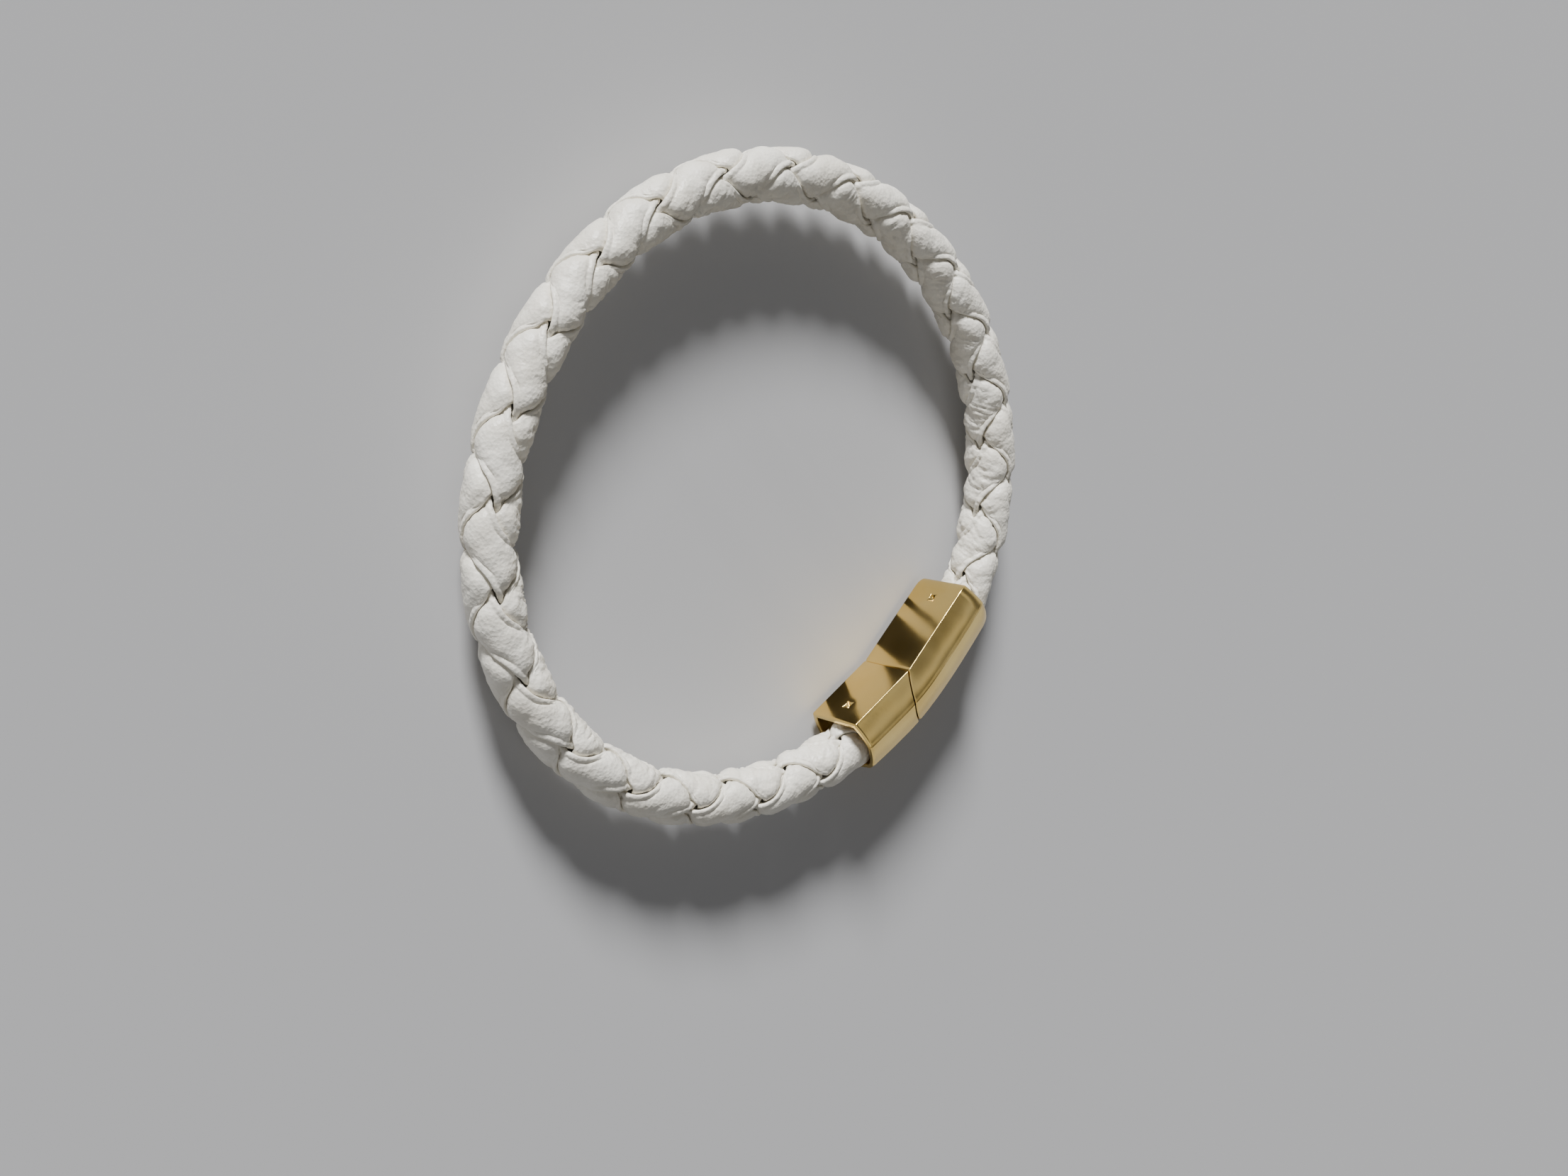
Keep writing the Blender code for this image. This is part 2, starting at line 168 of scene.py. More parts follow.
def thickness_at(along):
    """The clasp's thickness at a distance from the seam, + towards the socket half's cord end."""
    share = abs(along) / half_length(along)
    return CLASP_THICKNESS + (CLASP_END_THICKNESS - CLASP_THICKNESS) * share * share


def clasp_points(along, height, across):
    """Points of the clasp: along it from the seam, out from its inner face, across its width.

    The inner faces meet at a crisp bend and the outside curves smoothly past the seam.
    """
    along, height, across = np.broadcast_arrays(along, height, across)
    length = np.where(along > 0.0, SOCKET_HALF_LENGTH, TONGUE_HALF_LENGTH)
    lean = HALF_SLOPE * along / length
    x = along * math.cos(HALF_SLOPE) + height * np.sin(lean)
    bend = OUTSIDE_BEND * np.maximum(height, 0.0)
    reach = np.hypot(along, bend) - np.hypot(length, bend) + length
    y = -SEAM_INNER_RADIUS + reach * math.sin(HALF_SLOPE) - height * np.cos(lean)
    return np.stack([x, y, across], axis=-1)


def seam_along(height):
    """The seam seen from the side: the socket half's end bulges into the tongue half's."""
    return -SEAM_BULGE * (1.0 - (1.0 - height / SEAM_BULGE_HEIGHT) ** 2)


def fit_ring():
    """The centreline's radius as a + b cos 2t + c cos 3t, through the hinges, which lie on it."""
    points = [(joint["pos_m"][0] / MM, joint["pos_m"][1] / MM) for joint in frame["joints"]]
    angles = np.array([math.atan2(y, x) for x, y in points])
    radii = np.array([math.hypot(x, y) for x, y in points])
    terms = np.stack([np.ones_like(angles), np.cos(2 * angles), np.cos(3 * angles)], axis=1)
    return np.linalg.lstsq(terms, radii, rcond=None)[0]


def pocket_axis_radius(azimuths, side):
    """Where rays at these azimuths meet the axis of a half's cord pocket."""
    end = side * half_length(side)
    inner = end * POCKET_AXIS_SHARE
    near = clasp_points(inner, thickness_at(inner) / 2, 0.0)
    far = clasp_points(end, CLASP_END_THICKNESS / 2, 0.0)
    step = far - near
    return (near[0] * step[1] - near[1] * step[0]) / (np.cos(azimuths) * step[1] - np.sin(azimuths) * step[0])


def ring_radii(azimuths):
    """The ring's radius. Inside the cord pockets the centreline bends on to the pocket's axis."""
    base, oval, egg = fit_ring()
    radii = base + oval * np.cos(2 * azimuths) + egg * np.cos(3 * azimuths)
    along = radii * np.cos(azimuths)
    for side in (1, -1):
        here = (np.sin(azimuths) < 0.0) & (side * along > 0.0)
        share = smoothstep((half_length(side) - side * along) / POCKET_BEND_LENGTH)
        bent = radii + share * (pocket_axis_radius(azimuths, side) - radii)
        radii = np.where(here & (share > 0.0), bent, radii)
    return radii


PATH_POINTS = 5761
AZIMUTHS = np.radians(np.linspace(-90.0, 270.0, PATH_POINTS))
PATH = ring_radii(AZIMUTHS)[:, None] * np.stack([np.cos(AZIMUTHS), np.sin(AZIMUTHS)], axis=1)
LENGTHS = np.concatenate([[0.0], np.cumsum(np.linalg.norm(np.diff(PATH, axis=0), axis=1))])


def path_points(lengths):
    return np.stack([np.interp(lengths, LENGTHS, PATH[:, k]) for k in (0, 1)], axis=-1)


def path_frames(lengths):
    """(centre, tangent, outward) of the centreline, anticlockwise from the seam."""
    half_span = 0.2
    tangent = path_points(lengths + half_span) - path_points(lengths - half_span)
    tangent /= np.linalg.norm(tangent, axis=-1, keepdims=True)
    return path_points(lengths), tangent, np.stack([tangent[..., 1], -tangent[..., 0]], axis=-1)


def length_at_clasp(along):
    """The centreline's length where it passes this distance along the clasp."""
    target = clasp_points(along, CLASP_END_THICKNESS / 2, 0.0)[0]
    rows = np.where(PATH[:, 1] < 0.0)[0]
    return LENGTHS[rows[np.argmin(np.abs(PATH[rows, 0] - target))]]


CORD_START = length_at_clasp(SOCKET_HALF_LENGTH - SOCKET_POCKET_DEPTH + CORD_END_CLEARANCE)
CORD_END = length_at_clasp(-TONGUE_HALF_LENGTH + TONGUE_POCKET_DEPTH - CORD_END_CLEARANCE)
MOUTH_START = length_at_clasp(SOCKET_HALF_LENGTH)
MOUTH_END = length_at_clasp(-TONGUE_HALF_LENGTH)
SECTION_LENGTH = (MOUTH_END - MOUTH_START) / SECTIONS


# ---- One plait, relaxed against its neighbours ---------------------------------------------------
#
# A plait's points are (towards its column, to its side, along the braid). Half a lay further on the
# strip is the same, turned half a turn. The strip of the same winding is turned half a turn, and the
# two of the other winding are mirrored in the plane between columns and a quarter of a lay back.

HALF_LAY = LAY_LENGTH / 2
PLAIT_ROWS = 44
PLAIT_COLUMNS = 15
START_OVER_RADIUS = 2.35
START_UNDER_RADIUS = 1.35
START_HALF_WIDTH = 1.6
START_CURL_RADIUS = 3.4
STRIP_HALF_WIDTH = 2.45
MID_HALF_THICKNESS = 0.50
EDGE_HALF_THICKNESS = 0.22
THINNING_POWER = 2.5
OUTER_LIMIT = 2.7

# A strip's middle surface stays outside a core, which is wider under the strip's edges.
CORE_RADIUS = 1.4
CORE_RADIUS_AT_EDGES = 1.7
CORE_EVEN_SHARE = 0.45
CORE_RISE_SHARE = 0.45

RELAX_STEPS = 240
STRETCH_PASSES = 5
SEPARATE_PASSES = 2
GROWTH_SHARE = 0.55
START_THICKNESS_SHARE = 0.45
INWARD_STEP = 0.015
OVER_RELAXATION = 1.6

# Springs: the braid's pull, and stiffness as a share of the stiffness along and across the strip
TENSION = 0.985
SHEAR = 0.5
BEND_ALONG = 0.2
BEND_ACROSS = 0.03


def start_plait():
    """A narrow curled strip that winds over and under like one strip of the braid."""
    rows = (np.arange(PLAIT_ROWS) / PLAIT_ROWS - 0.5) * HALF_LAY
    rate = np.pi / HALF_LAY
    turn = rate * rows
    over = START_OVER_RADIUS * np.cos(turn)
    side = START_UNDER_RADIUS * np.sin(turn)
    centre = np.stack([over, side, rows], axis=1)
    slope_over = -START_OVER_RADIUS * rate * np.sin(turn)
    slope_side = START_UNDER_RADIUS * rate * np.cos(turn)
    tangent = np.stack([slope_over, slope_side, np.ones(PLAIT_ROWS)], axis=1)
    tangent /= np.linalg.norm(tangent, axis=1, keepdims=True)
    bearing = (np.arctan2(side, over) + turn) / 2
    normal = np.stack([np.cos(bearing), np.sin(bearing), np.zeros(PLAIT_ROWS)], axis=1)
    normal -= tangent * np.sum(normal * tangent, axis=1, keepdims=True)
    normal /= np.linalg.norm(normal, axis=1, keepdims=True)
    width = np.cross(normal, tangent)
    curl = np.linspace(-START_HALF_WIDTH, START_HALF_WIDTH, PLAIT_COLUMNS) / START_CURL_RADIUS
    rise = (np.cos(curl) - 1.0)[None, :, None] * normal[:, None]
    reach = np.sin(curl)[None, :, None] * width[:, None]
    return centre[:, None] + START_CURL_RADIUS * (rise + reach)


def later(points, half_lays):
    """The same strip this many half lays further on."""
    moved = points.copy()
    moved[..., :2] *= (-1) ** half_lays
    moved[..., 2] += half_lays * HALF_LAY
    return moved


def other_winding(points):
    """The matching strip that winds the other way."""
    moved = points[..., [1, 0, 2]].copy()
    moved[..., 2] -= HALF_LAY / 2
    return moved


def half_turn(points):
    return points * np.array([-1.0, -1.0, 1.0])


def with_ends(points, rows):
    return np.concatenate([later(points[-rows:], -1), points, later(points[:rows], 1)])


def neighbours(points):
    """The other three strips, as far as they can touch the plait."""
    copies = [half_turn(later(points, shift)) for shift in (-1, 0, 1)]
    for shift in (-1, 0, 1, 2):
        mirrored = other_winding(later(points, shift))
        copies += [mirrored, half_turn(mirrored)]
    return np.concatenate([copy.reshape(-1, 3) for copy in copies])


def stretch(points, along, across):
    """One pass of the strip's own springs: lengths along and across it, shear and bending."""
    sheet = with_ends(points, 2)
    push = np.zeros_like(sheet)
    weight = np.zeros(sheet.shape[:2])

    def spring(first, second, rest, stiffness):
        gap = sheet[second] - sheet[first]
        length = np.linalg.norm(gap, axis=-1, keepdims=True) + TINY
        move = gap * (1.0 - rest / length) * 0.5 * stiffness  # half of it at each end
        push[first] += move
        push[second] -= move
        weight[first] += stiffness
        weight[second] += stiffness

    every, low, high = slice(None), slice(0, -1), slice(1, None)
    diagonal = math.hypot(along, across)
    spring((low, every), (high, every), along, 1.0)
    spring((every, low), (every, high), across, 1.0)
    spring((low, low), (high, high), diagonal, SHEAR)
    spring((low, high), (high, low), diagonal, SHEAR)
    spring((slice(0, -2), every), (slice(2, None), every), 2 * along, BEND_ALONG)
    spring((every, slice(0, -2)), (every, slice(2, None)), 2 * across, BEND_ACROSS)
    sheet += push / weight[..., None]
    return sheet[2:-2]


def separate(points, half_thickness):
    """Pushes the plait's points out of the neighbouring strips."""
    own = points.reshape(-1, 3)
    others = neighbours(points)
    own_half = np.tile(half_thickness, PLAIT_ROWS)
    other_half = np.tile(half_thickness, len(others) // PLAIT_COLUMNS)
    near = np.abs(others[:, 2]) < HALF_LAY
    others, other_half = others[near], other_half[near]
    squared = (own**2).sum(1)[:, None] + (others**2).sum(1)[None] - 2.0 * own @ others.T
    i, j = np.nonzero(squared < (own_half[:, None] + other_half[None]) ** 2)
    gap = own[i] - others[j]
    length = np.linalg.norm(gap, axis=1) + TINY
    move = gap * ((own_half[i] + other_half[j] - length) / length * 0.5)[:, None]
    total = np.stack([np.bincount(i, move[:, k], minlength=len(own)) for k in range(3)], axis=1)
    count = np.maximum(np.bincount(i, minlength=len(own)), 1)
    return (own + total / count[:, None] * OVER_RELAXATION).reshape(points.shape)


def half_thickness_at(v, edge):
    """The strip's half thickness across it, from the middle's to this one at the edges."""
    return edge + (MID_HALF_THICKNESS - edge) * (1.0 - np.abs(v) ** THINNING_POWER)


def relax_plait():
    """Widens and thickens the starting strip step by step while its neighbours press on it."""
    points = start_plait()
    middle = with_ends(points, 1)[1:, PLAIT_COLUMNS // 2]
    along = np.linalg.norm(np.diff(middle, axis=0), axis=1).sum() / PLAIT_ROWS * TENSION
    start_half = np.linalg.norm(np.diff(points, axis=1), axis=-1).sum(1).mean() / 2
    place = np.abs(np.linspace(-1.0, 1.0, PLAIT_COLUMNS))
    half_thickness = half_thickness_at(place, EDGE_HALF_THICKNESS)
    towards_edge = np.clip((place - CORE_EVEN_SHARE) / CORE_RISE_SHARE, 0.0, 1.0)
    core = CORE_RADIUS + (CORE_RADIUS_AT_EDGES - CORE_RADIUS) * towards_edge
    for step in range(RELAX_STEPS):
        growth = min(1.0, step / (RELAX_STEPS * GROWTH_SHARE))
        across = 2 * (start_half + (STRIP_HALF_WIDTH - start_half) * growth) / (PLAIT_COLUMNS - 1)
        thickness = half_thickness * (START_THICKNESS_SHARE + (1.0 - START_THICKNESS_SHARE) * growth)
        radius = np.linalg.norm(points[..., :2], axis=-1, keepdims=True)
        points[..., :2] -= points[..., :2] / radius * INWARD_STEP
        for _ in range(STRETCH_PASSES):
            points = stretch(points, along, across)
        for _ in range(SEPARATE_PASSES):
            points = separate(points, thickness)
        radius = np.linalg.norm(points[..., :2], axis=-1)
        points[..., :2] *= (np.clip(radius, core[None], OUTER_LIMIT) / radius)[..., None]
        points[..., 2] -= points[..., 2].mean()
    return points


# ---- The plait as a smooth surface ---------------------------------------------------------------

HARMONICS = 9
ACROSS_DEGREE = 8


def harmonic_terms(u, orders):
    """Fourier terms along the strip. Odd orders change sign from one plait to the next."""
    return np.stack([wave(np.pi * k * u) for k in orders for wave in (np.cos, np.sin)], axis=1)


def across_terms(v):
    return np.polynomial.chebyshev.chebvander(v, ACROSS_DEGREE)


def fit_plait(points):
    """Fourier terms along the strip and Chebyshev terms across it, for each coordinate."""
    once = np.arange(PLAIT_ROWS) / PLAIT_ROWS
    twice = np.concatenate([once, once + 1.0])
    both = np.concatenate([points, later(points, 1)])
    both[..., 2] -= twice[:, None] * HALF_LAY
    across = across_terms(np.linspace(-1.0, 1.0, PLAIT_COLUMNS))
    fits = []
    for axis, first in ((0, 1), (1, 1), (2, 0)):
        orders = range(first, 2 * HARMONICS, 2)
        along = np.linalg.lstsq(harmonic_terms(twice, orders), both[..., axis], rcond=None)[0]
        fits.append((orders, np.linalg.lstsq(across, along.T, rcond=None)[0]))
    return fits


PLAIT = fit_plait(relax_plait())


def plait_surface(u, v):
    """The strip's middle surface: u counts plaits along it and v runs across it from -1 to 1."""
    terms = across_terms(v)
    parts = [harmonic_terms(u, orders) @ (terms @ across).T for orders, across in PLAIT]
    parts[2] = parts[2] + (u * HALF_LAY)[:, None]
    return np.stack(parts, axis=-1)


# ---- Noise ---------------------------------------------------------------------------------------


def value_noise(x, y, seed):
    """Smooth noise from -1 to 1 with features about one unit wide."""
    size = 64
    table = np.random.default_rng(seed).uniform(-1.0, 1.0, (size, size))
    xi, yi = np.floor(x).astype(int), np.floor(y).astype(int)
    xf, yf = smoothstep(x - xi), smoothstep(y - yi)

    def at(i, j):
        return table[(xi + i) % size, (yi + j) % size]

    low = at(0, 0) * (1 - xf) + at(1, 0) * xf
    high = at(0, 1) * (1 - xf) + at(1, 1) * xf
    return low * (1 - yf) + high * yf


CREST = 0.3
VALLEY_SHARPNESS = 6.0
FINE_VALLEY_DEPTH = 0.4
FINE_RATES = (2.1, 1.7)
FINE_SHIFTS = (7.3, 3.1)


def creases(x, y, seed):
    """Noise with narrow valleys and broad crests, from about -1 to 0.3."""
    broad = np.abs(value_noise(x, y, seed))
    fine_x, fine_y = FINE_RATES[0] * x + FINE_SHIFTS[0], FINE_RATES[1] * y + FINE_SHIFTS[1]
    fine = np.abs(value_noise(fine_x, fine_y, seed + 1))
    return CREST - np.exp(-broad * VALLEY_SHARPNESS) - FINE_VALLEY_DEPTH * np.exp(-fine * VALLEY_SHARPNESS)


# ---- Strips --------------------------------------------------------------------------------------

OUTER_POINTS = 29
INNER_POINTS = 9
ROW_STEP = 0.13
SECTION_POWER = 4.0
SHOWN_EDGE_HALF_THICKNESS = 0.26
PLAIT_PATH_LENGTH = 10.4
STRIP_KINDS = "abcd"
SEED_STEP = 100
END_SLANT = 1.2

# Rolled edge and the groove beside it: (place, width) as shares of the half width
RIM = (0.90, 0.08)
RIM_RISE = 0.07
GROOVE = (0.72, 0.09)
GROOVE_SHARE = 0.25

# Where a plait goes under its neighbours, in plaits from its middle
TUCK_START = 0.12
TUCK_REACH = 0.22

# Wrinkles: heights, and rates per millimetre (along, across) the strip
SWAY_RATE = 0.7
SWAY_REACH = 0.5
GATHER_DEPTH = 0.12
GATHER_RATES = (0.4, 2.2)
GATHER_ON_TOP = 0.12
CROSS_DEPTH = 0.14
CROSS_RATES = (2.1, 0.5)
CROSS_SWAY = 1.5
CROSS_EVERYWHERE = 0.35
CROSS_INWARD = 1.3
PEBBLE_HEIGHT = 0.032
PEBBLE_RATE = 3.0
SWAY_SEED = 9
CROSS_SEED = 20
PEBBLE_SEED = 40

# How the side of the braid that faces the ring's middle fades in, across the braid
INWARD_REACH = 2.4
INWARD_AT_MIDDLE = 0.2


def section_template():
    """(across, rise) round the strip's section: over its outer face and back under its inner face."""
    outer = np.sin(np.linspace(-np.pi / 2, np.pi / 2, OUTER_POINTS))
    inner = np.sin(np.linspace(np.pi / 2, -np.pi / 2, INNER_POINTS + 2))[1:-1]
    across = np.concatenate([outer, inner])
    side = np.concatenate([np.ones(OUTER_POINTS), -np.ones(INNER_POINTS)])
    return across, side * (1.0 - np.abs(across) ** SECTION_POWER) ** (1.0 / SECTION_POWER)


def ridge(place, centre, width):
    """A smooth ridge, 1 high."""
    return np.exp(-(((place - centre) / width) ** 2))


def surface_relief(u, v, rise, inward, seed):
    """Height of the rolled edges, gathers and wrinkles above the strip's smooth outer face."""
    phase = (u - 0.5) - np.round(u - 0.5)  # plaits from the middle of the nearest plait
    tucked = smoothstep((np.abs(phase) - TUCK_START) / TUCK_REACH)
    edge = np.abs(v)
    rim = ridge(edge, *RIM) - GROOVE_SHARE * ridge(edge, *GROOVE)
    rim = rim * (1.0 - tucked * (v * phase < 0.0))  # one edge stays rolled as the plait tucks under
    along = u * PLAIT_PATH_LENGTH
    across = v * STRIP_HALF_WIDTH
    sway = SWAY_REACH * value_noise(along * SWAY_RATE, across * SWAY_RATE, seed + SWAY_SEED)
    gathers = creases(along * GATHER_RATES[0] + sway, across * GATHER_RATES[1] + sway, seed)
    crossing_along = along * CROSS_RATES[0] + CROSS_SWAY * sway
    crossing = creases(crossing_along, across * CROSS_RATES[1] + sway, seed + CROSS_SEED)
    gathering = GATHER_DEPTH * gathers * (GATHER_ON_TOP + (1.0 - GATHER_ON_TOP) * tucked)
    wrinkling = CROSS_DEPTH * crossing * (CROSS_EVERYWHERE + CROSS_INWARD * inward)
    pebbles = PEBBLE_HEIGHT * value_noise(along * PEBBLE_RATE, across * PEBBLE_RATE, seed + PEBBLE_SEED)
    return (RIM_RISE * rim + gathering + wrinkling + pebbles) * np.maximum(rise, 0.0)


def place_on_ring(points):
    """Bends straight braid points (out, up, along) round the ring, squeezed inside the clasp."""
    lengths = points[..., 2]
    inside = np.maximum(MOUTH_START - lengths, lengths - MOUTH_END) / POCKET_BEND_LENGTH
    squeeze = 1.0 + (END_TAPER - 1.0) * smoothstep(inside)
    centre, _, outward = path_frames(lengths)
    plan = centre + outward * (points[..., 0] * squeeze)[..., None]
    return np.concatenate([plan, (points[..., 1] * squeeze)[..., None]], axis=-1)


def turn_to_columns(points):
    """From (towards column, to its side, along) to (out, up, length along the ring)."""
    c, s = math.cos(COLUMN_ANGLE), math.sin(COLUMN_ANGLE)
    out = points[..., 0] * c - points[..., 1] * s
    up = points[..., 0] * s + points[..., 1] * c
    return np.stack([out, up, points[..., 2] + LAY_START], axis=-1)


def strip_copy(points, kind):
    """Strips a and b wind one way, and c and d the other. Each pair is half a turn apart."""
    if kind in "cd":
        points = other_winding(points)
    if kind in "bd":
        points = half_turn(points)
    return points


def strip_points(u, kind):
    """Rings of points of one strip at these places along it."""
    v, rise = section_template()
    step = 0.01
    middle = plait_surface(u, v)
    along = plait_surface(u + step, v) - plait_surface(u - step, v)
    across = plait_surface(u, v + step) - plait_surface(u, v - step)
    normal = np.cross(along, across)
    normal /= np.linalg.norm(normal, axis=-1, keepdims=True)
    half = half_thickness_at(v, SHOWN_EDGE_HALF_THICKNESS)
    placed = turn_to_columns(strip_copy(middle, kind))
    inward = smoothstep(-placed[..., 0] / INWARD_REACH + INWARD_AT_MIDDLE)
    seed = SEED_STEP * STRIP_KINDS.index(kind)
    relief = surface_relief(u[:, None], v[None], rise[None], inward, seed)
    shell = middle + normal * ((rise * half)[None] + relief)[..., None]
    return place_on_ring(turn_to_columns(strip_copy(shell, kind)))


def mesh_from_rings(name, rings, loop=False):
    """A smooth tube through rings of points in millimetres: joined to its own start, or capped sharply."""
    count, width, _ = rings.shape
    index = np.arange(count * width).reshape(count, width)
    low, high = (index, np.roll(index, -1, axis=0)) if loop else (index[:-1], index[1:])
    quads = np.stack([low, high, np.roll(high, -1, axis=1), np.roll(low, -1, axis=1)], axis=-1)
    faces = quads.reshape(-1, 4).tolist()
    if not loop:
        faces += [index[0].tolist(), index[-1][::-1].tolist()]
    mesh = bpy.data.meshes.new(name)
    mesh.from_pydata((rings.reshape(-1, 3) * MM).tolist(), [], faces)
    shape = bmesh.new()
    shape.from_mesh(mesh)
    bmesh.ops.recalc_face_normals(shape, faces=shape.faces)
    for face in shape.faces:
        face.smooth = True
        if len(face.verts) > 4:  # a cap
            for edge in face.edges:
                edge.smooth = False
    shape.to_mesh(mesh)
    shape.free()
    return mesh


def add_piece(name, mesh, material):
    piece = bpy.data.objects.new(name, mesh)
    mesh.materials.append(material)
    SCENE.collection.objects.link(piece)
    return piece


def body_name(section):
    """The body that a section of the braid moves with, counted from the socket half."""
    if section == 0:
        return "socket_end"
    if section == SECTIONS - 1:
        return "tongue_end"
    return f"braid_section_{section + 1}"


def build_strips(material):
    """Each strip in eight lengths: the end ones ride on a clasp half, and each other crosses a hinge.

    A cut is slanted, because the strip crosses the braid at a slant, so the cord's ends are set back.
    """
    borders = [CORD_START + END_SLANT]
    borders += [MOUTH_START + (section + 0.5) * SECTION_LENGTH for section in range(SECTIONS)]
    borders += [CORD_END - END_SLANT]
    for kind in STRIP_KINDS:
        shift = HALF_LAY / 2 if kind in "cd" else 0.0
        for number in range(SECTIONS + 1):
            start, end = [(border - LAY_START + shift) / HALF_LAY for border in borders[number : number + 2]]
            rows = max(2, round((end - start) * HALF_LAY / ROW_STEP))
            u = np.linspace(start, end, rows + 1) + 0.5
            name = f"strip_{kind}_length_{number + 1}"
            piece = add_piece(name, mesh_from_rings(name, strip_points(u, kind)), material)
            if number in (0, SECTIONS):
                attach(piece, body_name(min(number, SECTIONS - 1)))
            else:
                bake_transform(piece)
            if number < SECTIONS:
                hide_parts(f"strip_{kind}_section_{number + 1}")


# ---- Clasp ---------------------------------------------------------------------------------------

ARC_POINTS = 13
FACET_POINTS = 11
INNER_FACE_POINTS = 90
INNER_FACE_EVENNESS = 0.35  # below 1, so that the inner face's points crowd together at the mark
RIM_RINGS = 9
SKIN_RINGS = 60
MARK_RINGS = 45
MARK_RINGS_REACH = 0.9
SEAM_FACE_RINGS = 7
MAGNET_POINTS = 64
THREAD_POINTS = 41
BINDING_POINTS = 96
SEAM_CURVE_REACH = 5.0
SHARP_ANGLE = math.radians(28)

# Inside the cord pocket: rings at a share of its depth and just inside its slightly bevelled mouth
POCKET_MIDDLE_SHARE = 0.6
MOUTH_RING_DEPTH = 0.3
MOUTH_BEVEL_DEPTH = 0.08
MOUTH_BEVEL_SCALE = 0.012
RIM_TO_SKIN = 0.02

# The pocket's and rim's rings stay under full size, because only full-size rings carry the mark.
RIM_LARGEST_SCALE = 0.99999
INNER_FACE_TOLERANCE = 0.01

HULL_MID_HEIGHT = CLASP_THICKNESS / 2
SEAM_X = seam_along(HULL_MID_HEIGHT)
TONGUE_TIP = SEAM_X + TONGUE_LENGTH
HOLLOW_END = TONGUE_TIP + MAGNET_CLEARANCE
CORNER_SHARES = np.linspace(0.0, 1.0, ARC_POINTS)


def rounded_corner(before, corner, after, setback):
    """A curve round a corner of the section, which starts and ends a setback away from it."""
    share = CORNER_SHARES[:, None]
    before, after = before - corner, after - corner
    start = corner + before / np.linalg.norm(before) * setback
    end = corner + after / np.linalg.norm(after) * setback
    return (1 - share) ** 2 * start + 2 * share * (1 - share) * corner + share**2 * end


def side_line_cut(across):
    """How far in the fine side line is cut, round the corner that it runs along."""
    spread = (CORNER_SHARES - 0.5) * 2 * EDGE_SETBACK
    return math.copysign(LINE_DEPTH, across) * np.exp(-((spread / LINE_HALF_WIDTH) ** 2))


def bulged_facet(start, end, thickness):
    """Points between two corners, on a facet that bulges outwards."""
    steps = np.linspace(-1.0, 1.0, FACET_POINTS + 2)[1:-1]
    facet = start + (end - start) * ((steps + 1) / 2)[:, None]
    run, rise = end - start
    outward = np.array([-rise, run]) / math.hypot(run, rise)
    outward *= math.copysign(1.0, outward @ (facet.mean(axis=0) - [thickness / 2, 0.0]))
    return facet + outward * (FACET_BULGE * (1.0 - steps**2))[:, None]


def flat_inner_face(start, end):
    """Points between the two inner corners, closer together in the middle."""
    steps = np.linspace(-1.0, 1.0, INNER_FACE_POINTS + 2)[1:-1]
    steps = INNER_FACE_EVENNESS * steps + (1.0 - INNER_FACE_EVENNESS) * steps**3
    return start + (end - start) * ((steps + 1) / 2)[:, None]


def clasp_outline(thickness):
    """(height, across) round the clasp's section, with softened corners and the fine side lines."""
    half = [
        (0.0, INNER_FACE_HALF_WIDTH, CORNER_SETBACK),
        (EDGE_HEIGHT * thickness, EDGE_HALF_WIDTH, EDGE_SETBACK),
        (OUTER_FACE_HEIGHT * thickness, OUTER_FACE_HALF_WIDTH, OUTER_SETBACK),
        (thickness, CROWN_HALF_WIDTH, OUTER_SETBACK),
    ]
    both = half + [(height, -across, setback) for height, across, setback in reversed(half)]
    corners = np.array(both)[:, :2]
    arcs = []
    for number, (height, across, setback) in enumerate(both):
        after = corners[(number + 1) % len(corners)]
        arc = rounded_corner(corners[number - 1], corners[number], after, setback)
        if abs(across) == EDGE_HALF_WIDTH:
            arc[:, 1] -= side_line_cut(across)
        arcs.append(arc)
    parts = []
    for arc, following in zip(arcs, arcs[1:]):
        parts += [arc, bulged_facet(arc[-1], following[0], thickness)]
    parts += [arcs[-1], flat_inner_face(arcs[-1][-1], arcs[0][0])]
    return np.concatenate(parts)


def scaled(outline, scale, thickness):
    """The outline made smaller or larger about the section's middle."""
    middle = np.array([thickness / 2, 0.0])
    return middle + (outline - middle) * scale


def polar_outline(outline, half_height, half_width, power=2):
    """A circle, or with a higher power a rounded rectangle, with points in the outline's directions."""
    bearing = np.arctan2(outline[:, 1], outline[:, 0] - HULL_MID_HEIGHT)
    reach = np.abs(np.cos(bearing) / half_height) ** power + np.abs(np.sin(bearing) / half_width) ** power
    radius = reach ** (-1.0 / power)
    return np.stack([HULL_MID_HEIGHT + radius * np.cos(bearing), radius * np.sin(bearing)], axis=1)


def mark_depth(along, across):
    """A punched four-pointed mark in a shallow dish."""
    first = np.abs(along + across) / math.sqrt(2)
    second = np.abs(along - across) / math.sqrt(2)
    star = 1.0 - (first**MARK_POWER + second**MARK_POWER) ** (1.0 / MARK_POWER) / MARK_REACH
    dish = np.exp(-(along**2 + across**2) / MARK_REACH**2)
    return MARK_DEPTH * np.clip(star, 0.0, 1.0) + DISH_DEPTH * dish


def skin_ring(station, side, scale=1.0):
    """A ring of the outer skin. Near the seam its points shift to follow the seam's curve."""
    thickness = thickness_at(station)
    outline = scaled(clasp_outline(thickness), scale, thickness)
    height, across = outline[:, 0], outline[:, 1]
    along = station + seam_along(height) * (1.0 - smoothstep(abs(station) / SEAM_CURVE_REACH))
    marked = (height < INNER_FACE_TOLERANCE) & (scale == 1.0)
    mark = side * (half_length(side) - MARK_FROM_END)
    height = height + np.where(marked, mark_depth(along - mark, across), 0.0)
    return clasp_points(along, height, across)


